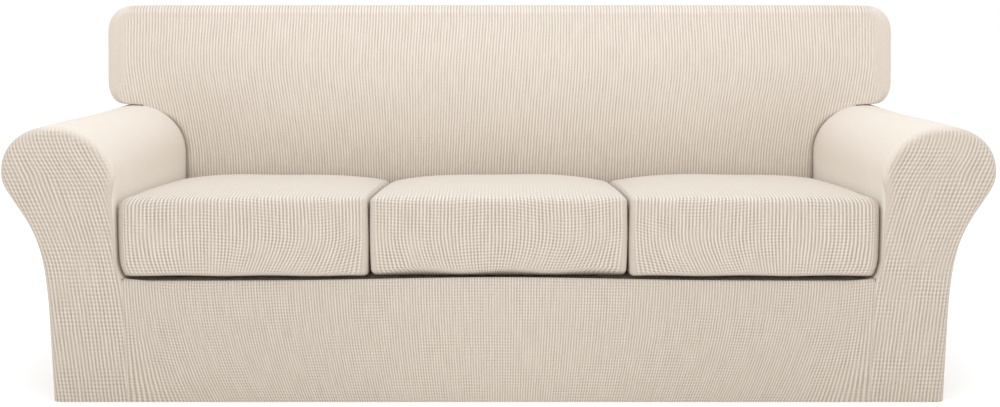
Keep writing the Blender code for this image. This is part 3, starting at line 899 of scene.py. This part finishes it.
def seat_patches():
    """Skirt and seat in one grid: up the front, over a round edge, back to the crease.

    A rib at share f of the width is drawn towards the middle by f(1 - f^12), by the square of
    how near it is to the floor.
    """
    knit = bpy.context.scene.slipcover_knit
    shape = bpy.context.scene.slipcover_shape
    centre_y = FRONT_Y + DECK_EDGE_RADIUS
    centre_z = deck_z(centre_y) - DECK_EDGE_RADIUS
    rise = np.linspace(0.0, 1.0, 17)[:-1]
    angle = np.linspace(0.0, math.pi / 2, 7)
    back = np.linspace(0.0, 1.0, 19)[1:] ** 1.5
    end = deck_end_y() - SEAM
    deck_y = centre_y + (end - centre_y) * back
    y = np.concatenate((
        np.full(rise.shape, FRONT_Y), centre_y - DECK_EDGE_RADIUS * np.cos(angle), deck_y
    ))
    z = np.concatenate((
        centre_z * rise, centre_z + DECK_EDGE_RADIUS * np.sin(angle), deck_z(deck_y)
    ))
    half = INNER_X - SEAM / 2
    count = 2 * round(half / SKIRT_RIB)
    f = np.linspace(-1.0, 1.0, count * COLUMNS_PER_RIB + 1)
    on_skirt = (y < FRONT_Y + 0.001)[:, None]
    near_floor = fade(z, DECK_FRONT_Z)[:, None] ** 2 * on_skirt
    x = half * (f - shape.skirt_pull * f * (1.0 - f**12) * near_floor)
    y, z = np.broadcast_to(y[:, None], x.shape), np.broadcast_to(z[:, None], x.shape)
    hollow = ease((y - FRONT_Y - 0.006) / 0.014) * (1.0 - ease((y - FRONT_Y - 0.05) / 0.06))
    inside = 1.0 - np.abs(f)
    deck = z + seat_arch(f, y, z) - SEAT_HOLLOW * hollow * ease(inside / 0.02)
    grid = np.stack((x, y, deck), -1)
    ribs = np.broadcast_to(f * count / 2, x.shape)
    rim = ease(inside / 0.05) * ease(z / 0.03) * on_skirt
    grid = raised(grid, slow_waves(grid) * knit.unevenness * rim)
    grid = raised(grid, rib_profile(ribs) * ease(inside / 0.004) * 0.85 * knit.rib_depth)
    rows = lengths(grid, 0) / CHECK_ROW
    # Darker towards the floor and towards the arms: painted shade. Darker along the top of the
    # front edge under the cushions' feet: painted shadow. Paler behind the edge, under the
    # cushions.
    tone = between(0.95, 1.1, 1.0 - z / DECK_FRONT_Z) + 0.22 * ease(np.abs(f) / 0.6)
    tone = tone + 0.3 * ease((z - DECK_FRONT_Z + 0.016) / 0.014)
    tone = tone + (0.2 - tone) * ease((y - FRONT_Y - 0.016) / 0.01)
    return [Patch(grid, ribs, rows, relief=0.75, checks=0.7, flat_ribs=0.0, tone=tone)]


# ---------------------------------------------------------------- arms


def arm_panel_patch():
    """Right arm panel: rows along the outline, columns back, its ends round over a radius.

    The inner part ends at the back's face, so the columns up to that seam are spread evenly in
    front of it, and the rest behind it, where only the outer part goes on.
    """
    knit = bpy.context.scene.slipcover_knit
    outer, inner = outer_outline(), inner_outline()[1:]
    outline = np.concatenate((outer, inner))
    normals = inward(outline)
    normals[0], normals[-1] = (-1.0, 0.0), (1.0, 0.0)
    x, z = outline[:, :1], outline[:, 1:]
    is_inner = (np.arange(len(outline)) >= len(outer))[:, None]
    front = np.where(is_inner, inner_front_radius(z), EDGE_RADIUS)
    rear = arm_rear_radius(x, z)

    seat, behind = np.linspace(0.0, 1.0, 41), np.linspace(0.0, 1.0, 17)[1:]
    start = FRONT_Y + front
    split = face_y(fallen(z, REAR_Y)) - BUTT_SEAM + BACK_GROOVE * groove_share(z) * is_inner
    flat_y = np.concatenate((start + (split - start) * seat,
                             split + (REAR_Y - rear - split) * behind), axis=1)
    rear_inset, rear_y = rear_edge(rear, 7)
    y = np.concatenate((flat_y, rear_y), axis=1)
    inset = np.concatenate((np.zeros(flat_y.shape), rear_inset), axis=1)
    points = np.stack((x + normals[:, :1] * inset, y, z + normals[:, 1:] * inset), -1)
    points[..., 2] = fallen(points[..., 2], y)

    drop = np.clip((ROLL_IN_Z - z) / (ROLL_IN_Z - DECK_FRONT_Z), 0.0, 1.0) * is_inner
    foot = deck_z(y) + SEAM
    top = fallen(ROLL_IN_Z, y)
    points[..., 2] = np.where(drop > 0.0, top + (foot - top) * drop, points[..., 2])
    points[..., 0] += arm_give(y, points[..., 2]) * is_inner

    travelled = lengths(points, 0)
    back = lengths(points, 1)
    keep = ~((np.arange(len(outline) - 1) >= len(outer) - 1)[:, None]
             & (np.arange(y.shape[1] - 1) >= len(seat) - 1))
    over_roll = (travelled - 0.50) / 0.12
    rim = ease(back / 0.05) * ease((back[:, -1:] - back) / 0.1) * ease(points[..., 2] / 0.04)
    rim = rim * np.where(is_inner, ease((split - y) / 0.08), 1.0) * (1.0 - ease(drop * 3.0))
    points = raised(points, (slow_waves(points) - 0.4) * knit.unevenness * rim)
    relief = between(0.9, 0.16, over_roll) * ease(back / 0.03)
    # Paler over the top of the roll, and pale and greyer low down inside the arm: painted light,
    # where the light from above washes out the cloth
    low = ease((0.58 - points[..., 2]) / 0.12) * is_inner
    tone = 0.9 * between(1.0, 0.0, over_roll) - 0.36 * low
    return Patch(points, y / BACK_RIB, travelled / CHECK_ROW, relief, checks=0.4, tone=tone,
                 keep=keep)


def distance_to(line, x, z):
    """Shortest distance from each point to a polyline, over all its straight pieces at once."""
    start, along = line[:-1], np.diff(line, axis=0)
    gap = np.stack((x, z), -1)[..., None, :] - start
    share = np.clip((gap * along).sum(-1) / (along**2).sum(-1), 0.0, 1.0)
    return np.sqrt(((gap - share[..., None] * along) ** 2).sum(-1)).min(-1)


def round_over(distance, radius):
    """Depth of a round edge of that radius at a distance from its outline."""
    inset = radius - np.minimum(distance, radius)
    return radius - np.sqrt(np.maximum(radius**2 - inset**2, 0.0))


def arm_rib(x, z, to_edge):
    """Ribs counted across the right arm's front.

    They lean out with the scroll as it rises, and follow its flare the nearer they are to its
    outer edge.
    """
    inner_lean = 0.07 * z + 0.35 * np.maximum(z - 0.20, 0.0) ** 2
    outer_lean = 0.07 * z + 0.075 * ease((z - 0.30) / 0.33)
    lean = inner_lean + (outer_lean - inner_lean) * ease(1.0 - to_edge / 0.17)
    return (x - lean) / ARM_RIB


def arm_front_patch():
    """Front of the right arm with its round edge, on rows from side to side of the scroll.

    Rows crowd towards the top of the scroll and columns towards its sides, as the sine of an
    even angle, and the depth follows the distance to the outline.
    """
    knit = bpy.context.scene.slipcover_knit
    outer, inner = outer_outline(), inner_outline()
    inner[:, 0] += arm_give(FRONT_Y, inner[:, 1])
    summit = np.argmax(outer[:, 1])
    left = np.concatenate((outer[summit:], inner[1:]))[::-1]
    right = outer[: summit + 1]
    t = np.linspace(0.0, 1.0, 97)[:, None]
    z = ROLL_TOP_Z * (1.0 - (1.0 - t) ** 2)
    x_right = np.interp(z, right[:, 1], right[:, 0])
    x_left = np.interp(z, left[:, 1], left[:, 0])
    x_left = np.where(z < DECK_FRONT_Z, INNER_X + SEAM / 2, x_left)
    across = np.sin(np.linspace(-math.pi / 2, math.pi / 2, 73))
    x = (x_left + x_right) / 2 + (x_right - x_left) / 2 * across
    z = np.broadcast_to(z, x.shape)
    to_outer = distance_to(outer, x, z)
    to_inner = distance_to(inner, x, z)
    depth = np.maximum(
        round_over(to_outer, EDGE_RADIUS), round_over(to_inner, inner_front_radius(z))
    )
    points = np.stack((x, FRONT_Y + depth, z), -1)
    near = np.minimum(to_outer, to_inner)
    rim = ease((near - 0.01) / 0.05) * ease(z / 0.04) * ease((x - INNER_X) / 0.05)
    points[..., 1] -= slow_waves(points) * knit.unevenness * rim
    across_edge = np.minimum(to_outer / 0.014, to_inner / between(0.030, 0.008, (0.50 - z) / 0.1))
    relief = 0.8 * ease(across_edge) * ease((x - INNER_X) / 0.004)
    # Darker towards the floor and lighter up the scroll: painted shade and painted light. Near the
    # outline at the top of the scroll it turns paler still: a painted highlight where the edge
    # rolls over into the light.
    tone = between(1.3, 1.0, z / 0.45) - 0.3 * ease((z - 0.54) / 0.10)
    painted_light_on_top = ease((ROLL_TOP_X + 0.07 - x) / 0.07) * ease((z - 0.50) / 0.05)
    tone = tone * between(1.0, ease(near / 0.02), painted_light_on_top)
    return Patch(points, arm_rib(x, z, to_outer), z / ARM_CHECK_ROW, relief, checks=0.8, tone=tone)


# ---------------------------------------------------------------- cushions


def cushion_span(place):
    """Middle and half width of a cushion cover: the middle one is a little the widest."""
    inner, outer = CUSHION_MEETS_X + CUSHION_GAP / 2, INNER_X - CUSHION_GAP / 2
    if place == 1:
        return 0.0, CUSHION_MEETS_X - CUSHION_GAP / 2
    return (place - 1) * (inner + outer) / 2, (outer - inner) / 2


def side_profile():
    """Front of a cushion from foot to top as (inset, z): quarter circle, bow, quarter circle."""
    low, top = CUSHION_LOW_RADIUS, CUSHION_FRONT_RADIUS
    high = CUSHION_HEIGHT - top
    turn = np.linspace(0.0, math.pi / 2, 5)
    rise = np.linspace(0.0, 1.0, 11)[1:-1]
    inset = (
        CUSHION_BULGE + low * (1.0 - np.sin(turn)), CUSHION_BULGE * (2.0 * rise - 1.0) ** 2,
        CUSHION_BULGE + top * (1.0 - np.cos(turn)),
    )
    z = (low * (1.0 - np.cos(turn)), low + (high - low) * rise, high + top * np.sin(turn))
    return np.concatenate(inset), np.concatenate(z)


def cushion_plan(x, y, half_x, half_y, corner, inset):
    """A plain rectangle mapped to one with round corners, made smaller by the inset.

    Inside the corner squares, a square is mapped to a quarter disc: each side is shortened by
    the square root of 1 minus half the other's square.
    """
    corner_x = np.maximum(np.abs(x) - half_x + corner, 0.0) / corner
    corner_y = np.maximum(np.abs(y) - half_y + corner, 0.0) / corner
    radius = corner - inset
    disc_x = radius * corner_x * np.sqrt(1.0 - corner_y**2 / 2)
    disc_y = radius * corner_y * np.sqrt(1.0 - corner_x**2 / 2)
    across = np.minimum(np.abs(x), half_x - corner) + disc_x
    back = np.minimum(np.abs(y), half_y - corner) + disc_y
    return np.sign(x) * across, np.sign(y) * back


class CushionShape:
    """One cushion cover: a box whose sides, corners and crown are rounded by its functions."""

    def __init__(self, place):
        self.place = place
        self.middle_x, self.half_x = cushion_span(place)
        self.half_y = CUSHION_DEPTH / 2
        self.arm_side = CUSHION_ARM_SIDE[place]

    def side_radius(self, x):
        """Radius of the upper edge at the sides, tighter between two cushions."""
        return np.where(x * self.arm_side > 0.0, CUSHION_SIDE_RADIUS, CUSHION_GAP_RADIUS)

    def top_radius(self, x):
        """Radius of the upper edge: that of the front, turning to that of the side at a corner."""
        inside = self.half_x - np.abs(x) - 0.02
        return between(self.side_radius(x), CUSHION_FRONT_RADIUS, inside / 0.05)

    def corner(self, x):
        """Radius of the upright edges."""
        return self.top_radius(x) + CUSHION_BULGE + 0.002

    def point(self, x, y, level):
        """Point of the cover for a point of the box; level is 0 at the foot and 1 at the top.

        Side and upper edge follow the profile, whose upper edge is scaled to the radius here.
        The front corner beside an arm is pushed out, the top is crowned but sinks at the back
        between two cushions, and the front of the foot is lifted.
        """
        radius = self.top_radius(x)
        profile_inset, profile_z = side_profile()
        steps = len(profile_z) - 1
        inset = np.interp(level * steps, np.arange(steps + 1), profile_inset)
        z = np.interp(level * steps, np.arange(steps + 1), profile_z)
        high = CUSHION_HEIGHT - CUSHION_FRONT_RADIUS
        upper = np.clip((z - high) / CUSHION_FRONT_RADIUS, 0.0, 1.0)
        scale = radius / CUSHION_FRONT_RADIUS
        z = np.where(z > high, CUSHION_HEIGHT - radius * (1.0 - upper), z)
        z = np.where(z <= high, z * (CUSHION_HEIGHT - radius) / high, z)
        top_inset = (inset - CUSHION_BULGE) * scale + CUSHION_BULGE
        inset = np.where(upper > 0.0, top_inset, inset)
        x, y = cushion_plan(x, y, self.half_x, self.half_y, self.corner(x), inset)
        f = np.minimum(np.abs(x) / (self.half_x - CUSHION_BULGE), 1.0)
        b = np.minimum(np.abs(y) / (self.half_y - radius - CUSHION_BULGE), 1.0)
        near_front = 1.0 - ease((y + self.half_y - 0.025) / 0.06)
        near_side = 1.0 - ease((self.half_x - self.arm_side * x) / 0.15)
        upright = ease((CUSHION_HEIGHT + 0.01 - z) / 0.03) * between(0.45, 1.0, z / 0.035)
        near_foot = fade(y + self.half_y, 0.06) ** 2
        x = x + self.arm_side * CUSHION_PUSH * near_front * near_side * upright
        back_share = np.where(y < 0, (1.0 - b**4) ** 1.5, 1.0 - 0.6 * b**3)
        at_gap = fade(self.half_x - np.abs(x), 0.016) * (x * self.arm_side <= 0.0)
        lift = CUSHION_FOOT_LIFT[self.place] * (1.0 + 0.2 * np.sin(31.0 * x + self.place))
        lift = near_foot * (lift + CUSHION_CORNER_LIFT * at_gap**2)
        swell_x = (1.0 - f**4) ** 0.9
        rear = np.clip(0.5 + 0.5 * y / self.half_y, 0.0, 1.0) ** 2
        sunk = CUSHION_SAG * rear * (1.0 - swell_x) * (x * self.arm_side <= 0.0)
        z = z + (CUSHION_CROWN * swell_x * back_share - sunk) * (z / CUSHION_HEIGHT) ** 2
        z = z + lift * (1.0 - z / CUSHION_HEIGHT) ** 3
        return np.stack((x, y, z), -1)

    def placed(self, points):
        """Turned to the slope of the seat and laid on it."""
        slope = math.atan(DECK_PITCH)
        middle = FRONT_Y + CUSHION_FRONT_SETBACK + CUSHION_DEPTH / 2 * math.cos(slope)
        lift = deck_z(middle) + 2 * SEAM / math.cos(slope)
        x, y, z = np.moveaxis(points, 2, 0)
        return np.stack((
            x + self.middle_x,
            middle + y * math.cos(slope) + z * math.sin(slope),
            lift - y * math.sin(slope) + z * math.cos(slope),
        ), -1)


def cushion_patches(place):
    """Front, top, rear and hem of a cushion in one grid; its sides and side hems in others.

    The ribs of the front are drawn in at its foot, in proportion to their distance from a centre.
    """
    knit = bpy.context.scene.slipcover_knit
    shape = bpy.context.scene.slipcover_shape
    cushion = CushionShape(place)
    half_x, half_y = cushion.half_x, cushion.half_y
    levels = np.linspace(0.0, 1.0, len(side_profile()[0]))
    corner = half_y - CUSHION_CORNER * np.array((0.0, 0.2, 0.4, 0.65, 1.0))
    hem = half_y - np.array((0.028, 0.036, CUSHION_HEM))
    middle = np.linspace(-hem[-1], hem[-1], 17)[1:-1]
    stations = np.concatenate((-corner, -hem, middle, hem[::-1], corner[::-1]))
    fold = len(corner) + len(hem)

    count = round(2 * half_x / CUSHION_RIB)
    f = np.linspace(-1.0, 1.0, count * COLUMNS_PER_RIB + 1)
    rise = levels[1:-1]
    y = np.concatenate((
        stations[:fold][::-1], np.full(rise.shape, -half_y), stations,
        np.full(rise.shape, half_y), stations[-fold:][::-1],
    ))[:, None]
    level = np.concatenate((
        np.zeros(fold), rise, np.ones(len(stations)), rise[::-1], np.zeros(fold)
    ))[:, None]
    is_top = np.zeros(len(y))
    is_top[fold + len(rise) : fold + len(rise) + len(stations)] = 1.0
    is_top = is_top[:, None]
    is_front = (np.arange(len(y)) < fold + len(rise))[:, None]
    low = ease(1.0 - level / 0.55) * is_front
    bow = np.sin(math.pi * level) * is_front * 0.12
    drawn = (f - CUSHION_CENTRE[place]) * (1.0 - f**2) * (low - bow)
    x = half_x * (f - shape.cushion_pull * drawn)
    y, level = np.broadcast_to(y, x.shape), np.broadcast_to(level, x.shape)
    wrap = cushion.point(x, y, level)
    swell = np.sin(math.pi * np.clip(level * 1.02, 0.0, 1.0)) ** 0.8 * (1.0 - f**6)
    wrap[..., 1] -= shape.cushion_swell * swell * is_front * (1.0 - is_top)

    ribs = np.broadcast_to(f * count / 2 + 0.5 * count, x.shape)
    ends = ease(((1.0 - np.abs(f)) * half_x - 0.006) / 0.014)
    foot = ease((wrap[..., 2] - 0.006) / 0.008) * between(0.7, 1.0, wrap[..., 2] / 0.05)
    behind_edge = wrap[..., 1] + half_y - 0.016
    top_fade = between(1.0, 0.35, behind_edge / 0.02) * between(1.0, 0.05, behind_edge / 0.14)
    top_fade = np.where(is_top > 0.5, top_fade, 1.0)
    relief = ends * foot * top_fade
    rows = lengths(wrap, 0) / CHECK_ROW
    rim = ease((1.0 - np.abs(f)) / 0.1) * ease(wrap[..., 2] / 0.04)
    wrap = raised(wrap, slow_waves(wrap + 0.7 * place) * knit.unevenness * rim)
    wrap = raised(wrap, rib_profile(ribs) * relief * knit.rib_depth)
    # A little paler on the top and darker low on the front; the last 11 mm at the foot is
    # darkened: painted shadow of the gap under the cushion
    tone = between(0.9, 0.75, is_top) + 0.1 * low + 0.7 * ease((0.011 - wrap[..., 2]) / 0.009)
    checks = 0.75 + 0.5 * low
    patches = [Patch(cushion.placed(wrap), ribs, rows, relief, checks, flat_ribs=0.0, tone=tone)]

    side_y, side_level = np.meshgrid(stations, levels)
    for sign in (1.0, -1.0):
        points = cushion.point(np.full(side_y.shape, sign * half_x), side_y, side_level)
        side = cushion.placed(points if sign > 0 else points[:, ::-1])
        away = lengths(side, 1)
        shows = ease((away - 0.02) / 0.02) * ease((away[:, -1:] - away - 0.02) / 0.02)
        patches.append(Patch(side, away / CUSHION_RIB, lengths(side, 0) / CHECK_ROW,
                             shows * ease((side_level - 0.1) / 0.2) * 0.8, tone=0.9))
        columns = np.flatnonzero(sign * f >= 1.0 - CUSHION_HEM / half_x)
        row_y = stations[fold - 1 : len(stations) - fold + 1][::-1][:, None]
        hem_x = np.broadcast_to(x[0, columns], (len(row_y), len(columns)))
        hem_y = np.broadcast_to(row_y, hem_x.shape)
        under = cushion.point(hem_x, hem_y, np.zeros(hem_x.shape))
        patches.append(Patch(cushion.placed(under), f[columns] * count / 2, 0.0, 0.0))
    return patches


# ---------------------------------------------------------------- operators


class SLIPCOVER_OT_back(Operator):
    """Face, ears and top of the back in one stretched piece, and its flat rear"""

    bl_idname = "slipcover.back"
    bl_label = "Back"

    def execute(self, context):
        width, height = 2 * EAR_X, BACK_TOP_Z - deck_z(deck_end_y())
        depth = REAR_Y - CREASE_Y
        flat = (width + 2 * depth, height + depth)
        area = BACK_CUT * flat[0] * flat[1]
        sew("knit_back_front", "back_front_panel", back_patches(), area)
        flat = (2 * ROLL_OUT_X, BACK_TOP_Z)
        area = REAR_CUT * flat[0] * flat[1]
        sew("knit_back_rear", "back_rear_panel", rear_patches(), area)
        return {"FINISHED"}


class SLIPCOVER_OT_seat(Operator):
    """Seat under the cushions and the front skirt, in one piece"""

    bl_idname = "slipcover.seat"
    bl_label = "Seat and skirt"

    def execute(self, context):
        sew("knit_seat_and_skirt", "seat_and_skirt_panel", seat_patches(), None)
        return {"FINISHED"}


class SLIPCOVER_OT_arms(Operator):
    """For each arm, the panel over the roll and the scroll-shaped front"""

    bl_idname = "slipcover.arms"
    bl_label = "Arms"

    def execute(self, context):
        panel, front = arm_panel_patch(), arm_front_patch()
        girth = float(lengths(panel.points, 0).max())
        panel_flat = (girth, REAR_Y - FRONT_Y)
        front_flat = (ROLL_OUT_X - INNER_X, ROLL_TOP_Z)
        for word, turn in (("right", lambda patch: patch), ("left", Patch.mirrored)):
            sew(f"knit_arm_panel_{word}", f"arm_panel_{word}", [turn(panel)],
                ARM_CUT * panel_flat[0] * panel_flat[1])
            sew(f"knit_arm_front_{word}", f"arm_front_{word}", [turn(front)],
                ARM_FRONT_CUT * front_flat[0] * front_flat[1])
        return {"FINISHED"}


class SLIPCOVER_OT_cushions(Operator):
    """A hollow cover for each seat cushion, open underneath inside its hem"""

    bl_idname = "slipcover.cushions"
    bl_label = "Cushion covers"

    def execute(self, context):
        around = 2 * (CUSHION_HEIGHT + CUSHION_HEM)
        corners = 4 * (CUSHION_HEIGHT + CUSHION_HEM) ** 2
        for place, word in enumerate(CUSHION_WORDS):
            flat = (2 * cushion_span(place)[1] + around, CUSHION_DEPTH + around)
            sew(f"knit_cushion_{word}", f"cushion_cover_{word}", cushion_patches(place),
                flat[0] * flat[1] - corners)
        return {"FINISHED"}


class SLIPCOVER_OT_stage(Operator):
    """Plain pale floor, white surroundings, two soft lights and the camera"""

    bl_idname = "slipcover.stage"
    bl_label = "Stage"

    def execute(self, context):
        stage = context.scene.slipcover_stage
        mesh = bpy.data.meshes.new("floor")
        corners = [(x * FLOOR_REACH, y * FLOOR_REACH, FLOOR_Z)
                   for x, y in ((-1, -1), (1, -1), (1, 1), (-1, 1))]
        mesh.from_pydata(corners, [], [(0, 1, 2, 3)])
        pale = Finish("pale floor")
        for word, value in (
            ("Base Color", (0.95, 0.95, 0.95, 1.0)), ("Roughness", 1.0),
            ("Specular IOR Level", 0.0), ("Emission Color", (*WHITE, 1.0)),
            ("Emission Strength", 0.12),
        ):
            pale.connect(pale.shader.inputs[word], value)
        mesh.materials.append(pale.material)
        floor = bpy.data.objects.new("floor", mesh)
        context.scene.collection.objects.link(floor)

        world = bpy.data.worlds.new("studio")
        world.use_nodes = True
        background = world.node_tree.nodes.get("Background")
        background.inputs["Color"].default_value = (*WHITE, 1.0)
        background.inputs["Strength"].default_value = stage.sky
        context.scene.world = world

        lights = (
            ("soft light above", 3.2, 1.2, stage.top_light, (0.0, -0.4, 2.1), 0.0, COOL),
            ("soft light in front", 4.0, 1.5, stage.front_light, (0.0, -4.0, 0.8), 90.0, WHITE),
        )
        for word, width, height, power, place, tilt, colour in lights:
            light = bpy.data.lights.new(word, "AREA")
            light.shape = "RECTANGLE"
            light.size, light.size_y = width, height
            light.energy, light.color = power, colour
            lamp = bpy.data.objects.new(word, light)
            lamp.location, lamp.rotation_euler = place, (math.radians(tilt), 0.0, 0.0)
            context.scene.collection.objects.link(lamp)

        camera = bpy.data.cameras.new("camera")
        camera.sensor_width = 36.0
        camera.lens = stage.lens
        camera.shift_x = CAMERA_SHIFT
        viewer = bpy.data.objects.new("camera", camera)
        viewer.location = CAMERA_PLACE
        viewer.rotation_euler = (math.radians(90.0 - CAMERA_DOWN), 0.0, 0.0)
        context.scene.collection.objects.link(viewer)
        context.scene.camera = viewer
        context.scene.view_settings.view_transform = "Standard"
        return {"FINISHED"}


class SLIPCOVER_PT_sidebar(Panel):
    """Settings and pieces of the slipcover"""

    bl_idname = "SLIPCOVER_PT_sidebar"
    bl_label = "Slipcover"
    bl_space_type = "VIEW_3D"
    bl_region_type = "UI"
    bl_category = "Slipcover"

    def draw(self, context):
        for settings in (
            context.scene.slipcover_knit, context.scene.slipcover_shape,
            context.scene.slipcover_stage,
        ):
            box = self.layout.box()
            for word in settings.bl_rna.properties.keys():
                if word not in ("rna_type", "name"):
                    box.prop(settings, word)
        for operator in OPERATORS:
            self.layout.operator(operator.bl_idname)


OPERATORS = (
    SLIPCOVER_OT_back, SLIPCOVER_OT_seat, SLIPCOVER_OT_arms, SLIPCOVER_OT_cushions,
    SLIPCOVER_OT_stage,
)
SETTINGS = {
    "slipcover_knit": SlipcoverKnit,
    "slipcover_shape": SlipcoverShape,
    "slipcover_stage": SlipcoverStage,
}
CLASSES = (*SETTINGS.values(), *OPERATORS, SLIPCOVER_PT_sidebar)


def register():
    for each in CLASSES:
        bpy.utils.register_class(each)
    for word, group in SETTINGS.items():
        setattr(bpy.types.Scene, word, PointerProperty(type=group))


def unregister():
    for word in SETTINGS:
        delattr(bpy.types.Scene, word)
    for each in reversed(CLASSES):
        bpy.utils.unregister_class(each)


def main():
    register()
    bpy.ops.slipcover.back()
    bpy.ops.slipcover.seat()
    bpy.ops.slipcover.arms()
    bpy.ops.slipcover.cushions()
    bpy.ops.slipcover.stage()


if __name__ == "__main__":
    main()
